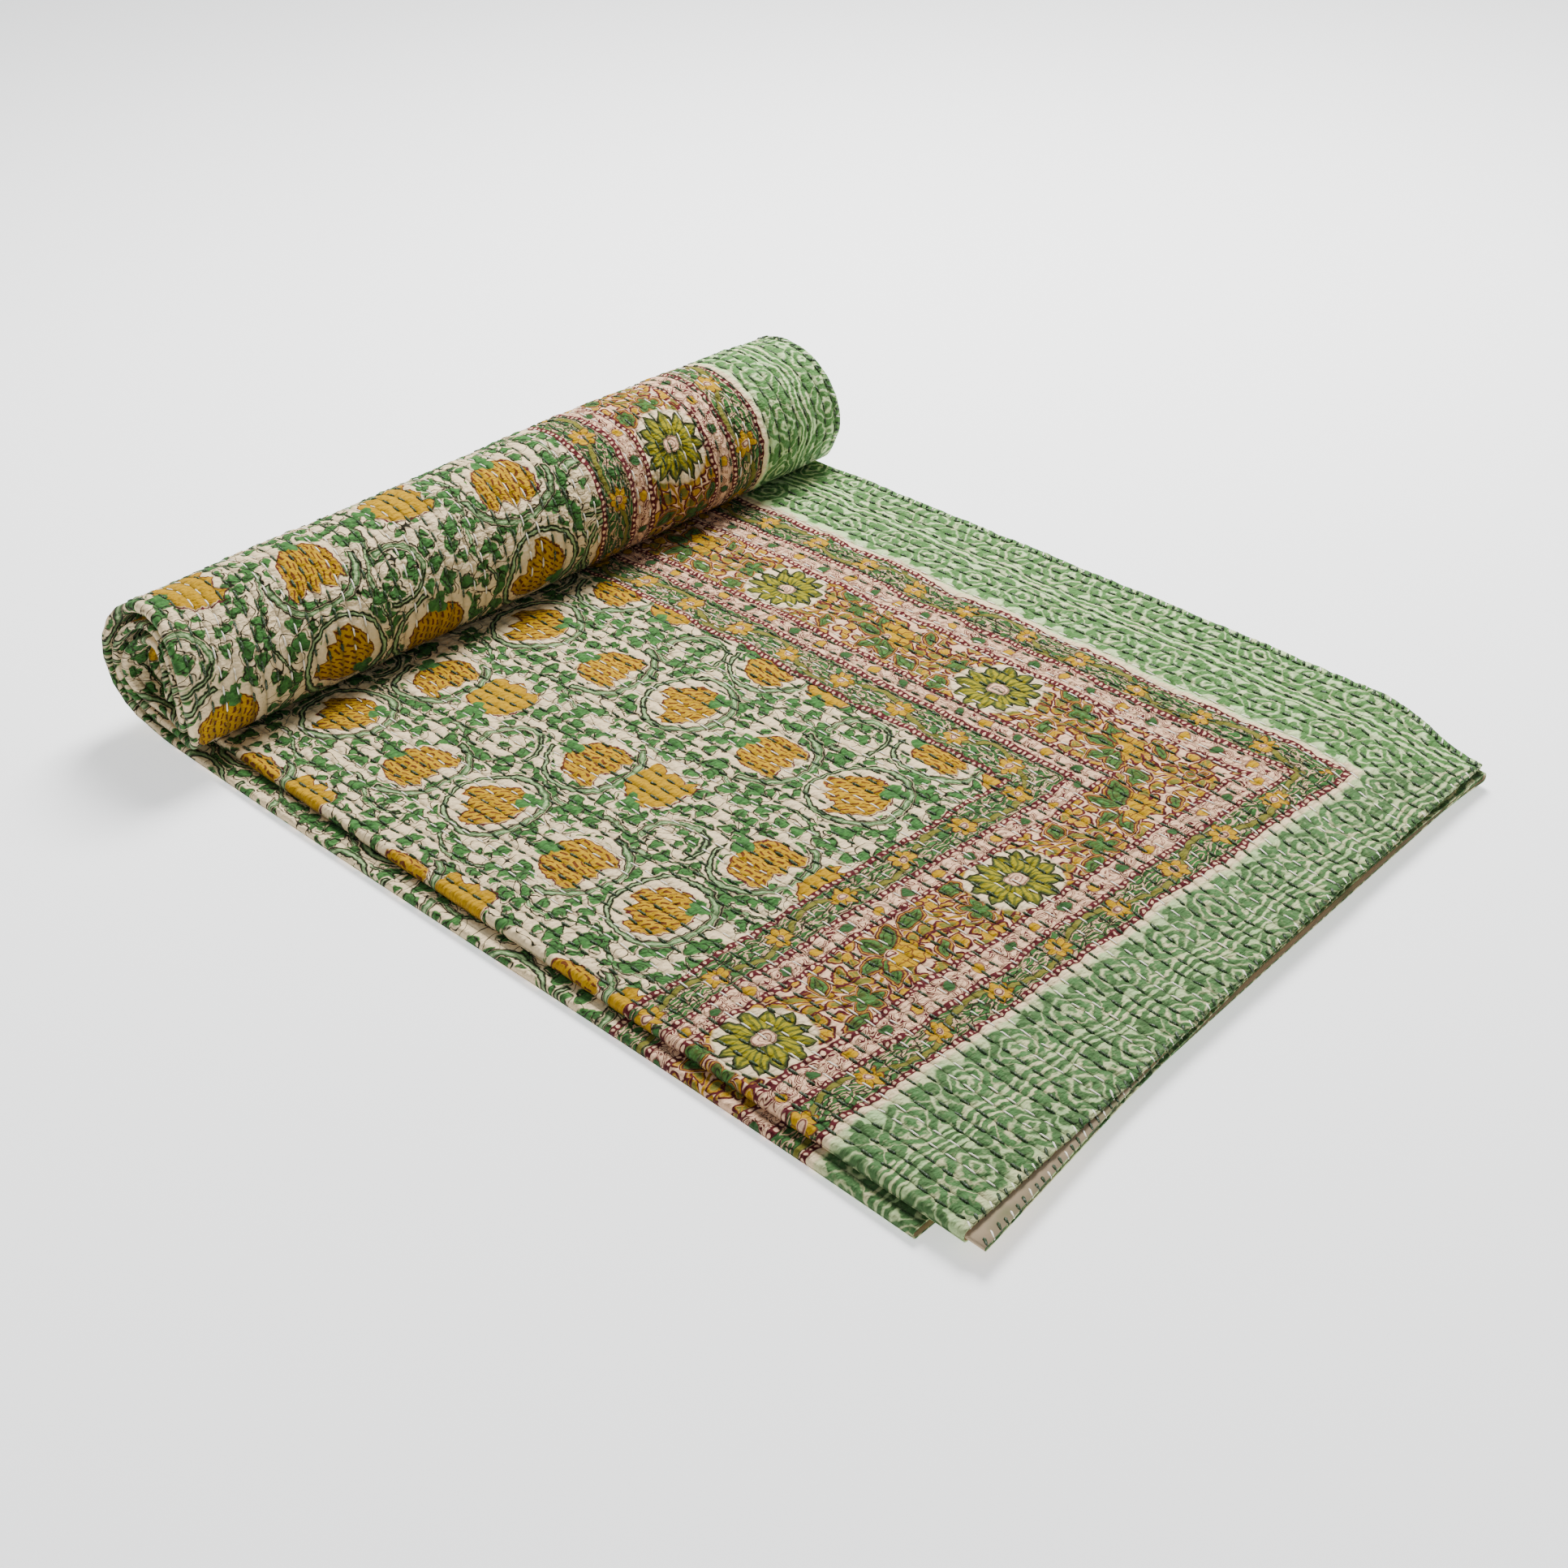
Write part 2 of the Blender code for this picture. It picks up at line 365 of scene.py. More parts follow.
def stations():
    """Places along the cloth: half of the cloth, share of the flat, wound angle, and length of cloth
    from the print's outer line, which in the roll is that of the outermost layer."""
    outer = [step * FULL_TURN / OUTER_STEPS for step in range(1, OUTER_STEPS + 1)]
    turn_steps = round((WOUND_TURNS - 1) * INNER_STEPS)
    inner = [FULL_TURN * (1 + step / INNER_STEPS) for step in range(1, turn_steps + 1)]
    whole = [FULL_TURN * step / INNER_STEPS for step in range(1, INNER_STEPS + 1)]
    lengths = {0.0: LINE_X - ROLL_AXIS_X}
    before = 0.0
    for angle in sorted(set(outer + inner + whole)):
        lengths[angle] = lengths[before] + wrap_radius((angle + before) / 2) * (angle - before)
        before = angle
    centre = lengths[before]
    upper = [(step / FLAT_STEPS, 0.0) for step in range(FLAT_STEPS + 1)]
    upper += [(1.0, angle) for angle in outer + inner]
    lower = [(step / INNER_FLAT_STEPS, 0.0) for step in range(INNER_FLAT_STEPS + 1)]
    lower += [(1.0, angle) for angle in whole + inner]
    places = [(0.0, flat, angle, lengths[angle]) for flat, angle in upper]
    for step in range(1, CREASE_STEPS):
        places.append((step / CREASE_STEPS, 1.0, before, centre))
    places += [(1.0, flat, angle, 2 * centre - lengths[angle]) for flat, angle in reversed(lower)]
    return places, centre


def is_fine(station, panel):
    """Whether the cloth shows from a station to the next, on a panel, so that its grid is fine."""
    half, flat, angle, _ = station
    if half > 0.0:
        return half == 1.0 and panel == TOP_PANEL and flat < 1.5 / INNER_FLAT_STEPS
    if panel == TOP_PANEL:
        return flat < 1.0
    return panel == BOTTOM_PANEL and flat == 1.0 and angle < SHOWN_ANGLE


def uneven(a, b, pattern):
    """A soft unevenness between -1 and 1, with a bump to each unit of a and b."""
    return noise.noise(Vector((a, b, pattern)))


def freedom(column, station, x):
    """How freely the cloth can puff out from its smooth form: 1 where it shows, 0 under its layers.

    It comes to rest softly over the last 40 mm of the strip, and over half a radian of the roll.
    """
    kind, number, share, _ = column
    half, flat, angle, _ = station
    if half > 0.0:
        return 0.0
    if flat < 1.0:
        if number != TOP_PANEL:
            return 0.0
        free = smooth((x - STRIP_END_X) / 0.04)
        return free if kind == "panel" else free * (1.0 - smooth(share))
    free = smooth((angle - 0.25) / 0.6) * smooth((SHOWN_ANGLE - angle) / 0.5)
    if kind == "panel":
        return free if number == BOTTOM_PANEL else 0.0
    return free * smooth(share) if number == BOTTOM_PANEL - 1 else 0.0


def puff(length, breadth, row):
    """How far the quilting stands out: ridges between the stitch rows, gathers along them, swells."""
    ridge = abs(math.sin(math.pi * row))
    ridge *= 0.8 + 0.7 * uneven(length / 0.018, breadth / 0.030, 3.1)
    gather = uneven(length / 0.0065, breadth / 0.013, 7.7)
    swell = uneven(length / 0.055, breadth / 0.070, 1.3)
    swell += 0.5 * uneven(length / 0.14, breadth / 0.025, 9.2)
    return RIDGE * ridge + GATHER * gather + SWELL * (swell + 0.6)


def settled(point):
    """The quilt's own unevenness, alike for all of its layers: its height and the roll's outline.

    Swells of 150 mm lift or lower a place by up to a tenth of its height, and from 20 mm up the
    cloth strays by up to 1.4 mm.
    """
    grip = smooth(point.z / 0.020)
    x, y = point.x / 0.15, point.y / 0.15
    lift = 0.10 * min(point.z, 0.016) * uneven(x, y, 5.5)
    shift = 0.0014 * grip * uneven(point.z / 0.06, y * 1.3, 2.5)
    return Vector((point.x + shift, point.y, point.z + lift + 0.7 * shift))


def make_surface(thickness):
    """The cloth's middle surface: its mesh, and where on it each place of the grid is."""
    across = columns()
    along, centre = stations()
    fine = [[is_fine(station, panel) for panel in range(PANELS)] for station in along[:-1]]
    index, points, cloth_uv, rows = {}, [], [], []
    for r, station in enumerate(along):
        near_bands = [fine[band] for band in (r - 1, r) if 0 <= band < len(fine)]
        breadth, before = 0.0, None
        for c, column in enumerate(across):
            kind, number = column[:2]
            shown = kind == "fold" or any(band[number] for band in near_bands)
            if not shown and (c - number * PANEL_SPAN) % COARSE_SPAN:
                continue
            point = place(column, station, thickness)
            if before is None:
                breadth = LINE_Y - point.y
            elif station[1] < 1.0:
                breadth += math.hypot(point.y - before.y, point.z - before.z)
            else:
                breadth += (point - before).length
            before = point
            length = station[3]
            if station[1] < 1.0:
                length = LINE_X - point.x if station[0] == 0.0 else 2 * centre - LINE_X + point.x
            index[r, c] = len(points)
            points.append(point)
            cloth_uv.append((length, breadth))
            rows.append(column[3])
        # the cloth is equally broad all along: its far part is measured from its far hem
        slack = BREADTH - breadth
        for c in range(PANEL_SPAN, len(across)):
            if (r, c) in index:
                share = smooth((c - PANEL_SPAN) / (len(across) - 1 - PANEL_SPAN))
                length, breadth = cloth_uv[index[r, c]]
                cloth_uv[index[r, c]] = (length, breadth + slack * share)
    faces = []
    for r in range(len(along) - 1):
        for panel in range(PANELS):
            start = panel * PANEL_SPAN
            span = 1 if fine[r][panel] else COARSE_SPAN
            cells = [(c, c + span) for c in range(start, start + FINE_STEPS, span)]
            if panel < PANELS - 1:
                fold_start = start + FINE_STEPS
                cells += [(c, c + 1) for c in range(fold_start, fold_start + FOLD_STEPS)]
            for first, last in cells:
                ahead = [index[r + 1, c] for c in range(first, last + 1) if (r + 1, c) in index]
                behind = [index[r, c] for c in range(first, last + 1) if (r, c) in index]
                faces.append(behind[:1] + ahead + behind[:0:-1])
    mesh = bpy.data.meshes.new("kantha_quilt_cloth")
    mesh.from_pydata(points, [], faces)
    heights = [0.0] * len(points)
    for (r, c), number in index.items():
        free = freedom(across[c], along[r], points[number].x)
        if free > 0.0:
            heights[number] = free * puff(*cloth_uv[number], rows[number])
    normals = [vertex.normal.copy() for vertex in mesh.vertices]
    for vertex, normal, height in zip(mesh.vertices, normals, heights):
        vertex.co = settled(vertex.co + normal * height)
    for name, values in (
        ("cloth", cloth_uv),
        ("quilting", [(uv[0], row) for uv, row in zip(cloth_uv, rows)]),
    ):
        layer = mesh.uv_layers.new(name=name)
        for loop in mesh.loops:
            layer.data[loop.index].uv = values[loop.vertex_index]
    mesh.update()
    return {
        "mesh": mesh,
        "index": index,
        "uv": cloth_uv,
        "across": across,
        "along": along,
        "half_length": centre,
        "half_breadth": (BREADTH - OUTER_BORDER) / 2,
    }


# ---------------------------------------------------------------- stitches


def strand(surface, column, shown):
    """The cloth along one stitch row: length of cloth, place and outward direction of each point."""
    mesh = surface["mesh"]
    points = []
    for r, station in enumerate(surface["along"]):
        number = surface["index"].get((r, column))
        if number is None or not shown(station, mesh.vertices[number].co):
            continue
        vertex = mesh.vertices[number]
        points.append((surface["uv"][number][0], vertex.co.copy(), vertex.normal.copy()))
    return points


def along_strand(points, length):
    """Place and outward direction at a length of cloth along a strand."""
    for (l0, p0, n0), (l1, p1, n1) in zip(points, points[1:]):
        if l0 <= length <= l1:
            t = (length - l0) / (l1 - l0)
            return p0.lerp(p1, t), n0.lerp(n1, t).normalized()
    return None


def running_stitches(surface, settings):
    """The rows of running stitch that show: thread, start, end and outward direction of each one."""
    step = settings.stitch_length + settings.stitch_gap
    lift = settings.cloth_thickness / 2 + SEWN_HEIGHT

    def on_strip(station, point):
        return station[0] == 0.0 and station[1] < 1.0 and point.x > STRIP_END_X

    def on_roll(station, point):
        half, flat, angle, _ = station
        return half == 0.0 and flat == 1.0 and ROLL_START_ANGLE < angle < SHOWN_ANGLE - 0.1

    for panel, shown in ((TOP_PANEL, on_strip), (BOTTOM_PANEL, on_roll)):
        for k in range(1, FINE_STEPS, 2):
            points = strand(surface, panel * PANEL_SPAN + k, shown)
            number = (k - 1) // 2 + panel * 7
            from_far_hem = k if panel == TOP_PANEL else FINE_STEPS - k
            pale = number % 5 > 2 and from_far_hem > DARK_COLUMNS
            name = "white_stitches" if pale else "green_stitches"
            length = points[0][0] + step * (0.2 + number * 0.618 % 1.0)
            while length < points[-1][0] - step:
                wobble = uneven(length / 0.01, number * 3.7, 0.5)
                drift = uneven(length / 0.02, number * 1.3, 4.5)
                reach = settings.stitch_length * (1.0 + 0.45 * wobble)
                first = along_strand(points, length)
                last = along_strand(points, length + reach)
                if first and last:
                    normal = (first[1] + last[1]).normalized()
                    aside = (last[0] - first[0]).cross(normal).normalized() * STRAY
                    start = first[0] + normal * lift - aside * wobble
                    yield name, start, last[0] + normal * lift + aside * drift, normal
                length += step * (1.0 + 0.12 * wobble)


def hem_stitches(surface, settings):
    """Whip stitches over the hems that show: thread, start, end and outward direction of each one."""
    index, vertices = surface["index"], surface["mesh"].vertices
    last_row, last_column = len(surface["along"]) - 1, len(surface["across"]) - 1
    front_hem, far_hem = range(FINE_STEPS + 1), range(FLAT_STEPS - 12)
    roll_hem = range(FLAT_STEPS + 6, FLAT_STEPS + OUTER_STEPS * 5 // 6)
    # both doubled layers' front hems, the strip's far hem and the roll's far hem
    hems = (
        ([((0, c), (1, c)) for c in front_hem], 1.0),
        ([((last_row, c), (last_row - 1, c)) for c in front_hem], -1.0),
        ([((r, 0), (r, 4)) for r in far_hem], 1.0),
        ([((r, last_column), (r, last_column - 2)) for r in roll_hem], 1.0),
    )
    for keys, side in hems:
        points = []
        for edge_key, inner_key in keys:
            if edge_key in index and inner_key in index:
                edge, inner = vertices[index[edge_key]], vertices[index[inner_key]]
                inward = (inner.co - edge.co).normalized()
                points.append((edge.co.copy(), inward, edge.normal * side))
        travelled, due, number = 0.0, 0.004, 0
        for (p0, in0, n0), (p1, in1, n1) in zip(points, points[1:]):
            span = (p1 - p0).length
            while due < travelled + span:
                t = (due - travelled) / span
                at, inward, normal = p0.lerp(p1, t), in0.lerp(in1, t), n0.lerp(n1, t).normalized()
                wobble = uneven(due / 0.012, side * 5.1, 2.7)
                slant = (p1 - p0).normalized() * (WHIP_SLANT + 0.0012 * wobble)
                start = at + inward * (WHIP_REACH + 0.0020 * wobble) - slant
                start += normal * (settings.cloth_thickness / 2 + WHIP_HEIGHT)
                name = "white_stitches" if number % 3 == 2 else "green_stitches"
                yield name, start, at - inward * WHIP_OVERHANG + slant, normal
                due += WHIP_PITCH * (1.0 + 0.25 * wobble)
                number += 1
            travelled += span


# ---------------------------------------------------------------- materials


def add(tree, kind, inputs=None, out=0, **settings):
    """Add a node with its settings, feed its inputs with numbers or links, and give one output."""
    node = tree.nodes.new("ShaderNode" + kind)
    for name, value in settings.items():
        setattr(node, name, value)
    for socket, value in (inputs or {}).items():
        if isinstance(value, Value):
            tree.links.new(value.socket, node.inputs[socket])
        else:
            node.inputs[socket].default_value = value
    return Value(node.outputs[out])


class Value:
    """A number, place or colour that varies over the cloth. Arithmetic on it adds Math nodes."""

    def __init__(self, socket):
        self.socket = socket
        self.tree = socket.id_data

    def other(self, name):
        """Another output of the same node."""
        return Value(self.socket.node.outputs[name])

    def math(self, operation, *others, clamp=False):
        inputs = dict(enumerate((self, *others)))
        return add(self.tree, "Math", inputs, operation=operation, use_clamp=clamp)

    def scaled(self, factor, start, clamp=False):
        """start, plus this times factor."""
        return self.math("MULTIPLY_ADD", factor, start, clamp=clamp)

    def __add__(self, other):
        return self.math("ADD", other)

    def __sub__(self, other):
        return self.math("SUBTRACT", other)

    def __mul__(self, other):
        return self.math("MULTIPLY", other)

    def __truediv__(self, other):
        return self.math("DIVIDE", other)

    def __mod__(self, other):
        return self.math("FLOORED_MODULO", other)

    def __abs__(self):
        return self.math("ABSOLUTE")

    def __neg__(self):
        return self.math("MULTIPLY", -1.0)


def length_of(x, y):
    """Distance of (x, y) from the motif's centre."""
    return y.scaled(y, x * x).math("SQRT")


def repeat(position, centre, period):
    """Position along a row of motifs, from the nearest motif's centre."""
    return (position + (period / 2 - centre)) % period - period / 2


def leaf_from(x, y, base, tip, breadth):
    """A pointed leaf from its base to its tip, drawn round (x, y): negative inside."""
    reach = math.dist(base, tip)
    c, s = (tip[0] - base[0]) / reach, (tip[1] - base[1]) / reach
    start = 1.0 + 2.0 * (base[0] * c + base[1] * s) / reach
    share = x.scaled(2 * c / reach, y.scaled(2 * s / reach, -start))
    side = y.scaled(c, x.scaled(-s, base[0] * s - base[1] * c))
    return (share * share).scaled(breadth, abs(side)) - breadth


def flower_of(x, y, petals, notch, tip):
    """A flower with its petals' tips and the notches between them at two radii: negative inside."""
    waves = abs((y.math("ARCTAN2", x) * (petals / 2)).math("COSINE"))
    return length_of(x, y) - waves.scaled(tip - notch, notch)


def ivy_leaf(x, y, turn, size):
    """A three-lobed leaf, turned by a number of turns: negative inside."""
    angle = y.math("ARCTAN2", x) + turn * FULL_TURN
    lobes = angle.math("PINGPONG", math.pi / 3).scaled(-0.44, 1.06)
    longer = angle.math("COSINE").scaled(0.30, 1.0)
    return length_of(x, y) - lobes * longer * size


def filled(shape, edge=0.0, soft=0.004):
    """Ink inside a shape, which is negative inside: 1 there, 0 outside, a soft edge between."""
    return shape.scaled(-1.0 / soft, edge / soft + 0.5, clamp=True)


def outlined(shape, breadth, at=0.0, soft=0.003):
    """Ink along a shape's outline, or along a line inside (at below 0) or outside it."""
    return filled(abs(shape - at) if at else abs(shape), breadth, soft)


def printed(cloth, *inks):
    """The cloth's colour with inks printed over it in turn: the tone and the coverage of each."""
    for ink, coverage in inks:
        tones = [(*srgb(INKS[tone]), 1.0) if isinstance(tone, str) else tone for tone in (cloth, ink)]
        inputs = {0: coverage, 6: tones[0], 7: tones[1]}
        cloth = add(coverage.tree, "Mix", inputs, out=2, data_type="RGBA")
    return cloth


def scattered(tree, vector, scale, randomness):
    """Cells with a leaf to each: place in the cell's frame, and two chances of the cell's own."""
    inputs = {"Vector": vector, "Scale": scale, "Randomness": randomness}
    chances = add(tree, "TexVoronoi", inputs, out="Color", voronoi_dimensions="2D")
    inputs = {0: vector, 1: chances.other("Position")}
    x = add(tree, "SeparateXYZ", {0: add(tree, "VectorMath", inputs, operation="SUBTRACT")})
    turn = add(tree, "SeparateColor", {0: chances})
    return x, x.other(1), turn, turn.other(1)


def lay_out(tree, half_length, half_breadth):
    """Where a point of the cloth lies in the print, in repeats of the lotus border."""
    uv = add(tree, "UVMap", uv_map="cloth")
    flat = add(tree, "VectorMath", {0: uv, 3: 1.0 / PRINT_REPEAT}, operation="SCALE")
    noises = []
    for bumps in (BLOCK_BUMPS, JOG_BUMPS, RAGGED_BUMPS, PATCH_BUMPS):
        detail = 3.0 if bumps == PATCH_BUMPS else 1.0
        inputs = {"Vector": flat, "Scale": bumps, "Detail": detail}
        noises.append(add(tree, "TexNoise", inputs, noise_dimensions="2D"))
    wander, jog, ragged, patchy = noises
    # hand-printed blocks wander by some millimetres, and the puckers jog their lines
    moved = flat
    for way, size in ((wander, BLOCK_WANDER), (jog, JOG_SIZE)):
        inputs = {0: way.other("Color"), 1: (size, size, 0.0), 2: moved}
        moved = add(tree, "VectorMath", inputs, operation="MULTIPLY_ADD")
    mean = (BLOCK_WANDER + JOG_SIZE) / 2
    moved = add(tree, "VectorMath", {0: moved, 1: (mean, mean, 0.0)}, operation="SUBTRACT")
    s = add(tree, "SeparateXYZ", {0: moved})
    t = s.other(1)
    half_s, half_t = half_length / PRINT_REPEAT, half_breadth / PRINT_REPEAT
    s_in = abs(s - half_s).scaled(-1.0, half_s)
    t_in = abs(t - half_t).scaled(-1.0, half_t)
    far_half = t.math("GREATER_THAN", half_t)
    turned_s = s.scaled(-2.0, 2.0 * half_s + SECOND_BORDER_SHIFT)
    printed_s = turned_s.scaled(far_half, s)
    short_side = s_in.math("LESS_THAN", t_in)
    return {
        "moved": moved,
        "s": printed_s,
        "t": t_in,
        "far_half": far_half,
        "inward": s_in.math("MINIMUM", t_in),
        "along": (t_in - printed_s).scaled(short_side, printed_s),
        "long_side": short_side.scaled(-1.0, 1.0),
        "ragged": ragged,
        "rough": ragged - 0.5,
        "patchy": patchy,
    }


def field_print(tree, at):
    """The field: tulips in loops of a climbing vine, four to a repeat, with ivy leaves between."""
    ragged, rough = at["ragged"], at["rough"]
    fs = at["far_half"].scaled(SECOND_FIELD_SHIFT[0], at["s"])
    ft = at["far_half"].scaled(SECOND_FIELD_SHIFT[1], at["t"])
    fs = (fs - FIELD_START[0] + 0.2) % FIELD_REPEAT[0] - 0.2
    ft = (ft - FIELD_START[1] + 0.19) % FIELD_REPEAT[1] - 0.19
    row = ft.math("GREATER_THAN", 0.21)
    col = fs.math("GREATER_THAN", 0.2)
    both = row * col

    def chosen(name):
        a0, a1, b0, b1 = (tulip[name] for tulip in TULIPS)
        return both.scaled(b1 - b0 - a1 + a0, row.scaled(b0 - a0, col.scaled(a1 - a0, a0)))

    x, y = fs - chosen("s"), ft - chosen("t")
    tip_s, tip_t = chosen("tip_s"), chosen("tip_t")
    up = x * tip_s + y * tip_t
    side = x * tip_t - y * tip_s
    r = length_of(x, y)
    ring = chosen("ring")
    open_side = x * chosen("open_s") + y * chosen("open_t") + chosen("open")
    loop = abs(r - ring).math("MAXIMUM", -open_side)
    xs, ys = fs - 0.228, ft - 0.561
    scroll = abs(length_of(xs, ys) - 0.100).math("MAXIMUM", ys - 0.035)
    stem_y = (ft + 0.37) % 0.40 - 0.2
    stem_wave = (at["s"] * (FULL_TURN / 0.3915)).math("SINE") * 0.032
    stem = abs(stem_y - stem_wave).math("MAXIMUM", ring - r) + rough * 0.012
    vine = loop.math("MINIMUM", scroll) + rough * 0.008

    # leaves of two sizes, their outlines printed a little beside them, and curling tendrils
    inputs = {"Vector": at["moved"], "Scale": CURL_BUMPS, "Detail": 0.0}
    curls = add(tree, "TexNoise", inputs, noise_dimensions="2D") - 0.5
    clear = filled(chosen("bare") - r + curls * 0.05)
    colour = printed(
        "ground",
        ("line", outlined(curls, 0.014, soft=0.012) * clear),
        ("vine", filled(stem, 0.0075)),
        ("mint_wash", filled(stem, 0.0025, 0.003) * 0.6),
        ("line", outlined(stem + x * 0.03, 0.0026, 0.0080)),
    )
    green = printed("leaf", ("leaf_dark", ragged.scaled(1.6, -0.3, clamp=True)))
    for cells, start, size, spread in FIELD_LEAVES:
        inputs = {0: at["moved"], 1: (start, start, 0.0)}
        shifted = add(tree, "VectorMath", inputs, operation="ADD")
        lx, ly, turn, grown = scattered(tree, shifted, cells, 0.85)
        reach = grown.scaled(spread, size)
        leaf = ivy_leaf(lx, ly, turn, reach) + rough * 0.010
        drawn = ivy_leaf(lx + 0.006, ly - 0.007, turn, reach)
        midrib = outlined(curls, 0.03, soft=0.02) * filled(drawn, -0.008)
        colour = printed(
            colour,
            (green, filled(leaf, soft=0.005) * clear),
            ("line", outlined(drawn, 0.0026) * clear * ragged * 1.9),
            ("line", midrib * clear * 0.6),
        )
    core = filled(vine, 0.0045) * ragged.scaled(1.6, -0.1, clamp=True)
    colour = printed(
        colour,
        ("ground", filled(vine, 0.0170) * ragged * 1.7),
        ("vine", filled(vine, 0.0110)),
        ("mint_wash", core * 0.7),
        ("line", outlined(vine + x * 0.03, 0.0030, 0.0105)),
    )

    # a tulip: a round cup with three ragged tips, a calyx, and the petals' broken lines
    tips = (side + curls * 0.05).math("PINGPONG", 0.036).scaled(-0.90, 0.106)
    cup = length_of(side, up.math("MINIMUM", up * 0.25)) - 0.105
    cup = cup.math("MAXIMUM", up - tips) + rough * 0.012
    calyx = flower_of(side, up + 0.108, 3, 0.022, 0.044) + rough * 0.012
    whole = filled(cup, soft=0.005)
    lines = side + curls * 0.02
    line_row = (lines / PETAL_LINES).math("FLOOR")
    dash = (up / 0.040 + line_row * 0.37) % 1.0 - 0.72
    hatch = filled((lines * (FULL_TURN / PETAL_LINES)).math("COSINE"), -0.40, 0.4)
    hatch = hatch * filled(dash, soft=0.1) * filled(cup, -0.004)
    return printed(
        colour,
        ("tulip", whole),
        ("orange", filled(-cup, 0.020, 0.018) * whole * 0.6),
        ("tulip_line", hatch * both.scaled(-0.75, 1.0)),
        ("red_line", outlined(cup + x * 0.05, 0.0026)),
        (green, filled(calyx, soft=0.005)),
    )


def narrow_and_pink_bands(tree, at):
    """The border's narrow bands, green with a vine and flowers, and the pink ones with buds."""
    along, inward, ragged, rough = at["along"], at["inward"], at["ragged"], at["rough"]
    inner_half = inward.math("GREATER_THAN", INNER_BANDS)
    narrow_x, pink_x = (
        inward - outer - inner_half * (inner - outer) for outer, inner in (NARROW_BANDS, PINK_BANDS)
    )
    narrow = filled(abs(narrow_x), NARROW_BREADTH / 2)
    pink = filled(abs(pink_x), PINK_BREADTH / 2)
    streaks = add(tree, "CombineXYZ", {0: along * STROKE_BUMPS[0], 1: inward * STROKE_BUMPS[1]})
    inputs = {"Vector": streaks, "Scale": 1.0, "Detail": 0.5}
    strokes = add(tree, "TexNoise", inputs, noise_dimensions="2D") - 0.5
    inputs = {"Vector": at["moved"], "Scale": MAZE_BUMPS, "Detail": 0.0}
    maze = add(tree, "TexNoise", inputs, noise_dimensions="2D") - 0.5
    lx, ly, turn, grown = scattered(tree, at["moved"], FILLER_CELLS, 0.8)
    leaf = ivy_leaf(lx, ly, turn, grown.scaled(0.008, 0.022))
    green = printed("leaf", ("leaf_dark", ragged.scaled(1.4, 0.0, clamp=True)))
    broken = filled(strokes, 0.05, 0.05) * pink
    colour = printed(
        "ground",
        ("ground_pink", pink),
        (green, narrow),
        ("ground_pink", outlined(strokes, 0.056, -0.02, 0.03) * narrow * 0.9),
        ("red_line", outlined(strokes, 0.012, -0.02, 0.02) * narrow * 0.9),
        ("red_line", outlined(strokes, 0.014, 0.100, 0.02) * narrow * 0.8),
        ("line", outlined(leaf, 0.0026) * narrow),
        ("red_line", outlined(maze, 0.038, soft=0.03) * broken),
        ("red_line", outlined(maze, 0.030, 0.12, 0.03) * broken),
        ("red_line", outlined(maze, 0.028, -0.12, 0.03) * broken),
        ("red_line", outlined(strokes, 0.026, 0.11, 0.02) * pink * 0.9),
    )

    # the narrow band's vine, and a flower of seven petals on each of its bends
    vine = abs(narrow_x - (along * (FULL_TURN / 0.5)).math("SINE") * 0.040) + rough * 0.006
    fx = repeat(along, 0.03, 0.25)
    flower = flower_of(fx, narrow_x, 7, 0.028, 0.045) + rough * 0.010
    spokes = abs((narrow_x.math("ARCTAN2", fx) * 3.5).math("COSINE")) - 0.16
    lines = filled(spokes, soft=0.12) * filled(flower)
    lines = lines.math("MAXIMUM", outlined(flower, 0.0024))
    middle = length_of(fx, narrow_x) - 0.014
    colour = printed(
        colour,
        ("olive", filled(vine, 0.0095) * narrow),
        ("line", outlined(vine, 0.0018, 0.0105) * narrow * 0.8),
        ("tulip", filled(flower) * narrow),
        ("red_line", lines * narrow * 0.85),
        ("ground_pink", filled(middle, soft=0.003) * narrow),
        ("red_line", outlined(middle, 0.0026, -0.004) * narrow * 0.9),
    )

    # the pink band's buds, yellow and green by turns
    bud = length_of(repeat(along, 0.0, 0.125), pink_x) - 0.019 + rough * 0.010
    yellow = abs(repeat(along, 0.0, 0.25)).math("LESS_THAN", 0.0625)
    bud_ink = printed("leaf_dark", ("tulip", yellow))
    return printed(
        colour,
        (bud_ink, filled(bud) * pink),
        ("red_line", outlined(bud, 0.0022, 0.001) * pink * 0.8),
    )


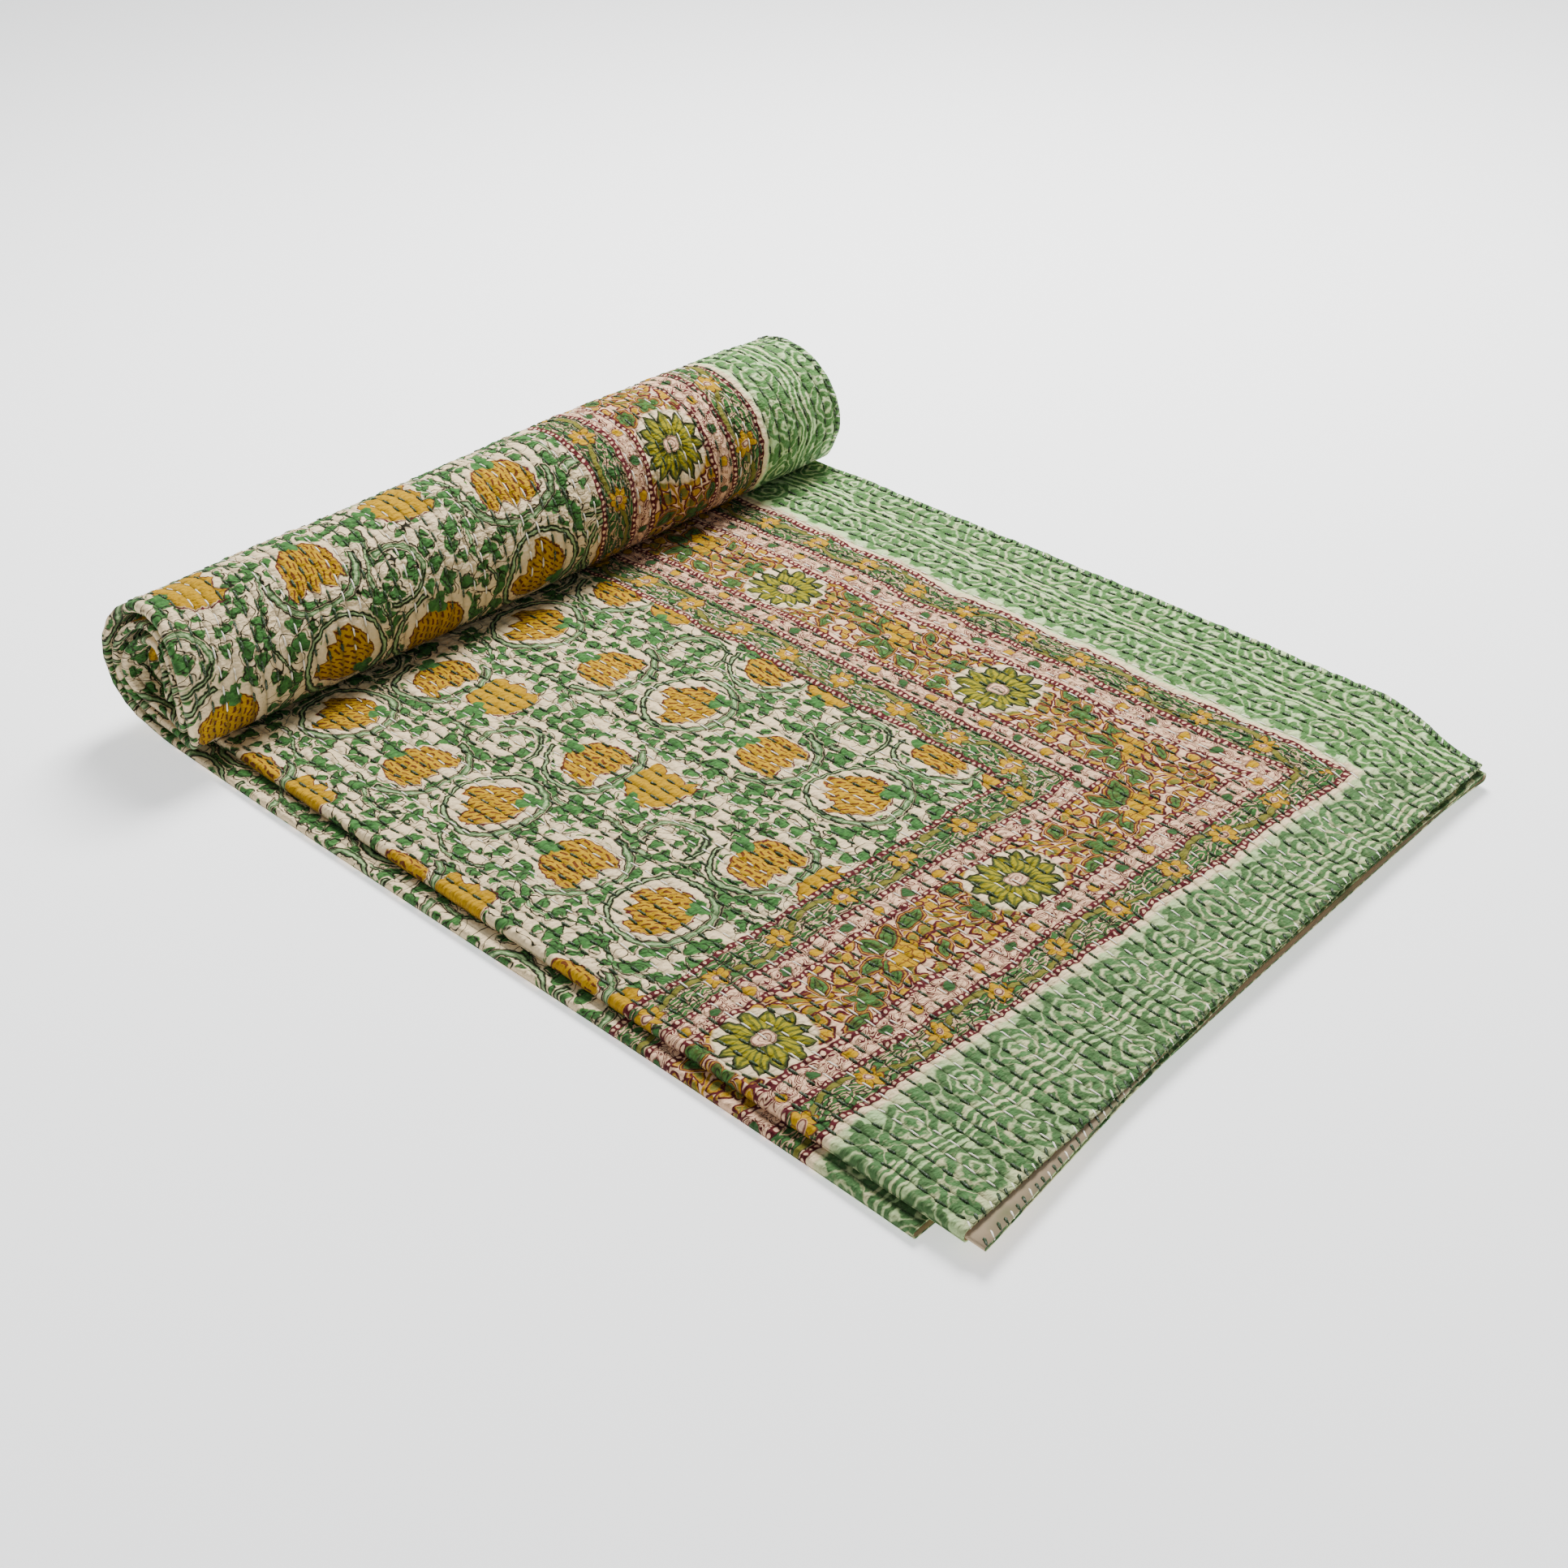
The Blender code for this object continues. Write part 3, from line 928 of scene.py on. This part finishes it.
def wide_band(tree, at):
    """The border's wide band: a lotus to each repeat, and a rosette with leaves and sprigs between."""
    ragged, rough = at["ragged"], at["rough"]
    x = at["inward"].scaled(-1.0, WIDE_BAND)
    y = repeat(at["along"], 0.62, 1.0)

    # sprigs of small leaves on winding stems
    stem = x - (y * (FULL_TURN / 0.50)).math("SINE") * 0.050 + rough * 0.008
    pair_y = y % 0.058 - 0.029
    pair = length_of(pair_y * 0.9 - abs(stem) * 0.55 + 0.018, abs(stem) - 0.036) - 0.0180
    lx, ly, turn, grown = scattered(tree, at["moved"], FILLER_CELLS, 0.9)
    filler = ivy_leaf(lx, ly, turn, grown.scaled(0.010, 0.0135))
    filler = filler.math("MAXIMUM", abs(stem).scaled(-1.0, 0.060))
    filler_ink = printed("olive", ("tulip", turn.math("GREATER_THAN", 0.35)))
    veins = outlined(lx * 0.6 + ly, 0.0022) * filled(filler, -0.003)
    colour = printed(
        "ground_pink",
        ("olive", filled(pair)),
        ("orange", filled(abs(stem), 0.006)),
        ("orange", outlined(pair, 0.0050, 0.003)),
        (filler_ink, filled(filler)),
        ("orange", outlined(filler, 0.0030, 0.003).math("MAXIMUM", veins)),
        ("red_line", outlined(filler, 0.0040, 0.0075)),
        ("red_line", outlined(pair, 0.0036, 0.0085)),
    )

    # larger leaves with an orange rim, and small flowers
    shapes = [leaf_from(x, y, *leaf) for leaf in WIDE_BAND_LEAVES]
    for centre, petals, notch, tip in WIDE_BAND_FLOWERS:
        shapes.append(flower_of(x - centre[0], y - centre[1], petals, notch, tip))
    leaves = shapes[0]
    for shape in shapes[1:]:
        leaves = leaves.math("MINIMUM", shape)
    leaves = leaves + rough * 0.006
    green = printed("leaf", ("olive_dark", ragged.scaled(2.0, -0.4, clamp=True)))
    colour = printed(
        colour,
        ("ground_pink", filled(leaves, 0.014)),
        ("red_line", outlined(leaves, 0.0034, 0.0084)),
        ("orange", filled(leaves, 0.0060)),
        ("red_line", outlined(leaves, 0.0030, -0.001)),
        (green, filled(leaves, -0.003)),
        ("line", outlined(leaves, 0.0024, -0.016) * 0.8),
    )

    # rosette: half of a scalloped flower, with two rows of petals
    turn = y.math("ARCTAN2", x)
    reach = length_of(x, y)
    scallops = abs((turn * 6.0).math("COSINE")).scaled(0.008, 0.078)
    cut = x * -0.80 + y * 0.60
    rosette = (reach - scallops).math("MAXIMUM", cut)
    inner = (reach - scallops * 0.60).math("MAXIMUM", cut)
    petals = filled(abs((turn * 6.0).math("SINE")), 0.18, 0.12) * filled(rosette, -0.004)
    petals = petals * filled(-reach, -0.035)
    lines = outlined(rosette, 0.0026).math("MAXIMUM", outlined(inner, 0.0022))
    colour = printed(
        colour,
        ("tulip", filled(rosette, soft=0.003)),
        ("red_line", lines.math("MAXIMUM", petals) * 0.85),
        ("ground_pink", filled(reach, 0.016, 0.003)),
        ("red_line", outlined(reach, 0.0026, 0.010)),
    )

    # lotus: twelve pointed petals round a pink eye
    la = repeat(at["along"], 0.12, 1.0)
    reach = length_of(la, x)
    fan = (x.math("ARCTAN2", la) + 0.05) % (math.pi / 6) - math.pi / 12
    petal_x = (reach * fan.math("COSINE") - 0.084) / 0.058
    petal = abs(reach * fan.math("SINE")) - (petal_x * petal_x).scaled(-0.026, 0.026)
    petal = petal + rough * 0.005
    near = filled(reach, 0.146, 0.01)
    midrib = filled(abs(fan), 0.05, 0.03) * filled(petal, -0.006)
    eye = filled(abs(reach % 0.012 - 0.006), 0.0017, 0.003) * filled(reach, 0.034)
    return printed(
        colour,
        ("ground", near),
        ("olive_dark", filled(petal, soft=0.003) * near),
        ("lotus", filled(petal, -0.0085, 0.005) * near),
        ("olive_dark", midrib * near * 0.8),
        ("line", outlined(petal, 0.0028, 0.0005) * near),
        ("ground_pink", filled(reach, 0.032)),
        ("red_line", eye * 0.9),
    )


def outer_border(at):
    """Outside the lines: hexagons and leaves in watery green, with wavy lines between their rows."""
    ragged, long_side = at["ragged"], at["long_side"]
    out = -at["inward"] + at["rough"] * 0.008
    x = repeat(at["along"], 0.0, 0.21)
    y = repeat(out, 0.128, 0.240)
    hexagon = length_of(x, y).math("MAXIMUM", (abs(x) + abs(y)) * 0.85) + at["rough"] * 0.014
    hexagon = hexagon + (at["patchy"] - 0.5) * 0.07
    rings = filled(hexagon, 0.015, 0.008)
    for breadth, radius in ((0.0125, 0.039), (0.0150, 0.075)):
        rings = rings.math("MAXIMUM", outlined(hexagon, breadth, radius, 0.008))
    side_x = abs(x) - 0.105
    leaves = flower_of(abs(y) - 0.060, side_x, 3, 0.024, 0.056)
    leaves = leaves.math("MINIMUM", length_of(side_x, y) - 0.012)
    rings = rings.math("MAXIMUM", filled(leaves, soft=0.008) * filled(-hexagon, -0.094, 0.006))
    wave = out + (at["along"] * (FULL_TURN / 0.21)).math("SINE") * 0.007
    waves = filled((wave * (FULL_TURN / 0.027)).math("COSINE"), 0.40, 0.7)
    near_waves = filled(abs(out - 0.247), 0.040, 0.006)
    green = (waves - rings).scaled(near_waves, rings) * filled(-out, -0.038, 0.008)

    # the dye has run: a wash between the motifs, and full and thin places. At the front hem both
    # the wash and the ink are darker than on the long sides
    wash = at["patchy"].scaled(1.4, 0.02) + long_side * 0.15
    wash = wash.math("MULTIPLY", filled(-out, -0.028, 0.01), clamp=True)
    wash_ink = printed("mint_wash", ("mint_pale", long_side.scaled(-0.34, 0.34)))
    strength = ragged.math("ADD", 0.55, clamp=True) * long_side.scaled(0.08, 0.92)
    fuller = at["patchy"].scaled(3.2, -1.20, clamp=True) - long_side
    mint = printed("mint", ("mint_pale", long_side), ("leaf_dark", fuller.math("MAXIMUM", 0.0)))
    return printed("ground", (wash_ink, wash), (mint, green * strength))


def block_print(tree, half_length, half_breadth):
    """The block print's colour over the whole cloth."""
    at = lay_out(tree, half_length, half_breadth)
    inward = at["inward"]
    near = abs(inward - LINES[0])
    for line in LINES[1:]:
        near = near.math("MINIMUM", abs(inward - line))
    holes = length_of(repeat(at["along"], 0.0, 0.022), near) - 0.0055 + at["rough"] * 0.008
    return printed(
        narrow_and_pink_bands(tree, at),
        (wide_band(tree, at), filled(abs(inward - WIDE_BAND), WIDE_BREADTH / 2)),
        (field_print(tree, at), inward.math("GREATER_THAN", FIELD_EDGE)),
        ("red_line", filled(near, 0.0108, 0.003)),
        ("ground_pink", filled(holes, soft=0.003)),
        (outer_border(at), filled(inward, -0.007, 0.003)),
    )


def new_material(name, values):
    """A material, its tree and its shader, with what is the same all over set on the shader itself."""
    material = bpy.data.materials.new(name)
    material.use_nodes = True
    shader = material.node_tree.nodes["Principled BSDF"]
    for socket, value in values.items():
        shader.inputs[socket].default_value = value
    return material, material.node_tree, shader


def printed_voile(half_length, half_breadth):
    """Cotton voile, woven fine and loose, block-printed, quilted and washed: matt, soft, uneven."""
    values = {"Roughness": 0.9, "Sheen Weight": 0.05, "Specular IOR Level": 0.12}
    material, tree, shader = new_material("block_printed_voile", values)
    colour = block_print(tree, half_length, half_breadth)
    length = add(tree, "SeparateXYZ", {0: add(tree, "UVMap", uv_map="quilting")})
    row = length.other(1)
    noises = []
    for bumps in (CRINKLES, SLUBS):
        stretched = add(tree, "CombineXYZ", {0: length * bumps[0], 1: row * bumps[1]})
        inputs = {"Vector": stretched, "Scale": 1.0, "Detail": 2.0}
        noises.append(add(tree, "TexNoise", inputs, noise_dimensions="2D"))
    crinkles, slubs = noises
    # rows of stitches draw the cloth down in grooves, and it crinkles between their stitches
    groove = abs((row * math.pi).math("SINE")).math("POWER", 0.6)
    height = crinkles.scaled(1.1, groove * 0.7)
    bump = add(tree, "Bump", {"Height": height, "Distance": CRINKLE_DEPTH, "Strength": 0.9})
    # painted shade darkens the cloth in the grooves along the stitch rows, and the slubs of the yarn
    # vary its tone
    groove_shade_and_slubs = groove.scaled(-0.38, 0.34) + (slubs - 0.42) * 0.30
    colour = printed(colour, ("line", groove_shade_and_slubs.math("MAXIMUM", 0.0)))
    tree.links.new(colour.socket, shader.inputs["Base Color"])
    tree.links.new(bump.socket, shader.inputs["Normal"])
    return material


def plain_voile():
    """The quilt's back: the same voile left plain, with the print showing through as faint clouds, and
    its faded ground darkened further with painted shade.
    """
    values = {"Roughness": 0.9, "Specular IOR Level": 0.25}
    material, tree, shader = new_material("plain_voile_back", values)
    inputs = {"Vector": add(tree, "UVMap", uv_map="cloth"), "Scale": CLOUDS, "Detail": 2.0}
    clouds = add(tree, "TexNoise", inputs, noise_dimensions="2D") - 0.5
    colour = printed("faded_back_and_painted_shade", ("mint_pale", clouds.math("MULTIPLY", 1.8, clamp=True)))
    tree.links.new(colour.socket, shader.inputs["Base Color"])
    return material


def thread(name, colour):
    """Quilting thread: loosely spun cotton, matt, with painted highlights along its twist."""
    material, tree, shader = new_material(name, {"Roughness": 0.8})
    inputs = {"Vector": add(tree, "TexCoord", out="Object"), "Scale": TWIST_HIGHLIGHT_BUMPS, "Detail": 0.0}
    twist_highlight = add(tree, "TexNoise", inputs) - 0.5
    # painted highlights: the thread is mixed toward white along its twist
    colour = printed((*colour, 1.0), (WHITE, twist_highlight.math("MULTIPLY", 0.6, clamp=True)))
    tree.links.new(colour.socket, shader.inputs["Base Color"])
    return material


# ---------------------------------------------------------------- settings and operators

made = {}  # what one operator leaves for the next: the cloth's middle surface


class KanthaQuiltSettings(bpy.types.PropertyGroup):
    """Sizes and colours of the quilt that a user would change."""

    cloth_thickness: bpy.props.FloatProperty(
        name="Cloth thickness", description="Face, filling and back together",
        default=0.0012, min=0.0005, max=0.0014, unit="LENGTH",
    )
    stitch_length: bpy.props.FloatProperty(
        name="Stitch length", description="Length of a running stitch on the face",
        default=0.0092, unit="LENGTH",
    )
    stitch_gap: bpy.props.FloatProperty(
        name="Stitch gap", description="Distance from one stitch of a row to the next",
        default=0.0042, unit="LENGTH",
    )
    thread_width: bpy.props.FloatProperty(
        name="Thread width",
        description="Width of the white quilting thread, a little coarser than real so that it shows",
        default=0.0014, unit="LENGTH",
    )
    white_thread: bpy.props.FloatVectorProperty(
        name="White thread", description="Colour of the pale quilting thread",
        default=srgb("#FFF8E6"), subtype="COLOR",
    )
    green_thread: bpy.props.FloatVectorProperty(
        name="Green thread", description="Colour of the dark quilting thread",
        default=srgb("#263F18"), subtype="COLOR",
    )


class KANTHA_OT_cloth(bpy.types.Operator):
    """Fold and roll up the printed cloth"""

    bl_idname = "kantha.cloth"
    bl_label = "Printed cloth"

    def execute(self, context):
        settings = context.scene.kantha_quilt
        surface = make_surface(settings.cloth_thickness)
        made["surface"] = surface
        cloth = bpy.data.objects.new("quilt_cloth", surface["mesh"].copy())
        context.scene.collection.objects.link(cloth)
        cloth.data.materials.append(printed_voile(surface["half_length"], surface["half_breadth"]))
        cloth.data.materials.append(plain_voile())
        wall = cloth.modifiers.new("thickness", "SOLIDIFY")
        wall.thickness = settings.cloth_thickness
        wall.offset = 0.0
        wall.material_offset = 1
        wall.material_offset_rim = 0
        bpy.ops.object.select_all(action="DESELECT")
        context.view_layer.objects.active = cloth
        cloth.select_set(True)
        bpy.ops.object.modifier_apply(modifier=wall.name)
        bpy.ops.object.shade_smooth()
        cloth.select_set(False)
        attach(cloth, "root")
        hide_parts("quilt")
        return {"FINISHED"}


def stitch(start, end, normal, width, lift):
    """Corners and faces of one stitch: a thread that comes up, lies on the cloth and goes down.

    It has four sides between two points, and is full width over the middle of its length.
    """
    side = (end - start).cross(normal).normalized() * (width / 2)
    top = normal * lift
    inner = [start.lerp(end, 0.22), start.lerp(end, 0.78)]
    corners = [start - normal * SEWN_HEIGHT]
    for point in inner:
        corners += [point - side, point + top, point + side, point - top * 0.4]
    corners.append(end - normal * SEWN_HEIGHT)
    faces = []
    for k in range(4):
        a, b = 1 + k, 1 + (k + 1) % 4
        faces += [(0, b, a), (a, b, b + 4, a + 4), (a + 4, b + 4, 9)]
    return corners, faces


class KANTHA_OT_stitches(bpy.types.Operator):
    """Sew the rows of running stitch and the whip stitches of the hems, where they show"""

    bl_idname = "kantha.stitches"
    bl_label = "Stitches"

    def execute(self, context):
        settings = context.scene.kantha_quilt
        surface = made["surface"]
        surface["mesh"].update()
        sewn = {"white_stitches": ([], []), "green_stitches": ([], [])}
        for sew in (running_stitches, hem_stitches):
            for name, start, end, normal in sew(surface, settings):
                coarser = DARK_COARSER if name == "green_stitches" else 1.0
                width = settings.thread_width * coarser
                corners, faces = stitch(start, end, normal, width, width * 0.5)
                base = len(sewn[name][0])
                sewn[name][0].extend(corners)
                sewn[name][1].extend([tuple(base + i for i in face) for face in faces])
        for name, (corners, faces) in sewn.items():
            mesh = bpy.data.meshes.new(name)
            mesh.from_pydata(corners, [], faces)
            colour = settings.white_thread if name == "white_stitches" else settings.green_thread
            mesh.materials.append(thread("cotton_" + name, colour))
            mesh.shade_smooth()
            threads = bpy.data.objects.new(name, mesh)
            context.scene.collection.objects.link(threads)
            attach(threads, "root")
        return {"FINISHED"}


# The camera, fitted to the photograph: lens on a 36 mm sensor, place, and its axes (right, up, back)
LENS = 55.08
CAMERA_PLACE = (0.988, -0.933, 0.895)
CAMERA_AXES = (
    (0.69092, 0.72198, -0.03700),
    (-0.38217, 0.40822, 0.82904),
    (0.61365, -0.55866, 0.55797),
)
# Soft boxes turned to the quilt: name, place, watts, size
LIGHTS = (
    ("key_light", (-0.62, 0.90, 1.62), 94.0, 0.9),
    ("fill_light", (-1.5, -1.2, 1.2), 5.0, 1.2),
)


class KANTHA_OT_stage(bpy.types.Operator):
    """Lay the pale floor, and set the lights and the camera"""

    bl_idname = "kantha.stage"
    bl_label = "Floor, lights and camera"

    def execute(self, context):
        bpy.ops.mesh.primitive_plane_add(size=12.0, location=(0.0, 0.0, -0.0005))
        floor = context.object
        floor.name = "floor"
        values = {
            "Base Color": (*srgb("#F6F6F6"), 1.0),
            "Roughness": 0.95,
            "Emission Color": WHITE,
            "Emission Strength": 0.9,
        }
        floor.data.materials.append(new_material("white_paper", values)[0])
        world = bpy.data.worlds.new("studio")
        context.scene.world = world
        world.use_nodes = True
        sky = world.node_tree.nodes["Background"].inputs
        sky["Color"].default_value = (0.90, 0.96, 1.0, 1.0)
        sky["Strength"].default_value = 0.30
        for name, place_at, energy, size in LIGHTS:
            light = bpy.data.lights.new(name, "AREA")
            light.energy = energy
            light.size = size
            lamp = bpy.data.objects.new(name, light)
            context.scene.collection.objects.link(lamp)
            lamp.location = place_at
            lamp.rotation_euler = (-Vector(place_at)).to_track_quat("-Z", "Y").to_euler()
        lens = bpy.data.cameras.new("camera")
        lens.lens = LENS
        camera = bpy.data.objects.new("camera", lens)
        context.scene.collection.objects.link(camera)
        turn = Matrix(CAMERA_AXES).transposed().to_4x4()
        camera.matrix_world = Matrix.Translation(CAMERA_PLACE) @ turn
        context.scene.camera = camera
        return {"FINISHED"}


class KANTHA_PT_quilt(bpy.types.Panel):
    """The quilt's sizes, colours and steps"""

    bl_label = "Kantha quilt"
    bl_idname = "KANTHA_PT_quilt"
    bl_space_type = "VIEW_3D"
    bl_region_type = "UI"
    bl_category = "Quilt"

    def draw(self, context):
        for name in KanthaQuiltSettings.__annotations__:
            self.layout.prop(context.scene.kantha_quilt, name)
        for operator in OPERATORS:
            self.layout.operator(operator.bl_idname)


OPERATORS = (KANTHA_OT_cloth, KANTHA_OT_stitches, KANTHA_OT_stage)
CLASSES = (KanthaQuiltSettings, *OPERATORS, KANTHA_PT_quilt)


def register():
    for item in CLASSES:
        bpy.utils.register_class(item)
    bpy.types.Scene.kantha_quilt = bpy.props.PointerProperty(type=KanthaQuiltSettings)


def unregister():
    del bpy.types.Scene.kantha_quilt
    for item in reversed(CLASSES):
        bpy.utils.unregister_class(item)


def main():
    """Register the add-on, and make every piece in order."""
    register()
    bpy.ops.kantha.cloth()
    bpy.ops.kantha.stitches()
    bpy.ops.kantha.stage()


if __name__ == "__main__":
    main()
